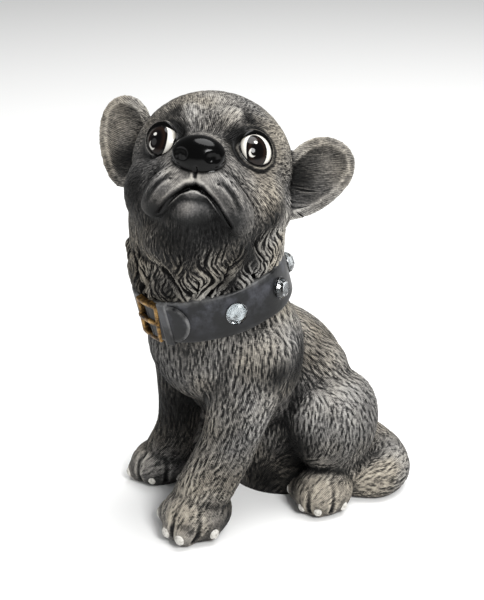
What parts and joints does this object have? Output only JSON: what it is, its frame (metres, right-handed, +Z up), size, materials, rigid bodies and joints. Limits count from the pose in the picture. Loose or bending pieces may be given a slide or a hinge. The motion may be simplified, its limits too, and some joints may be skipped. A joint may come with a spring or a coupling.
{
  "type": "plaster dog figurine",
  "caption": "Painted plaster puppy sitting upright with its head turned and raised, wearing a moulded buckled collar set with glued clear glass stones",
  "frame": {"origin": "middle of the flat base under the rump, on the surface that the figure sits on", "axes": "+Z up, the body faces -Y, +X is the dog's left side"},
  "size_m": [0.1258, 0.1534, 0.2157],
  "materials": {
    "painted_plaster": "cast plaster, painted charcoal and dry-brushed light grey over the carved fur, satin",
    "clear_glass": "clear faceted glass stone with a silvered back, glued on",
    "collar_paint": "blue-black satin paint on the moulded collar, rubbed lighter along its edges",
    "gilt_paint": "antique gold paint on the moulded buckle, dark in its corners",
    "gloss_enamel": "gloss enamel on the nose and eyes: black, dark brown and white",
    "claw_paint": "off-white paint on the claws",
    "silver_foil": "silver foil behind each stone"
  },
  "bodies": {
    "root": {"dog_figure": "painted_plaster", "rhinestone_1": "clear_glass", "rhinestone_2": "clear_glass", "rhinestone_3": "clear_glass", "rhinestone_4": "clear_glass", "rhinestone_5": "clear_glass", "rhinestone_6": "clear_glass"}
  },
  "joints": []
}
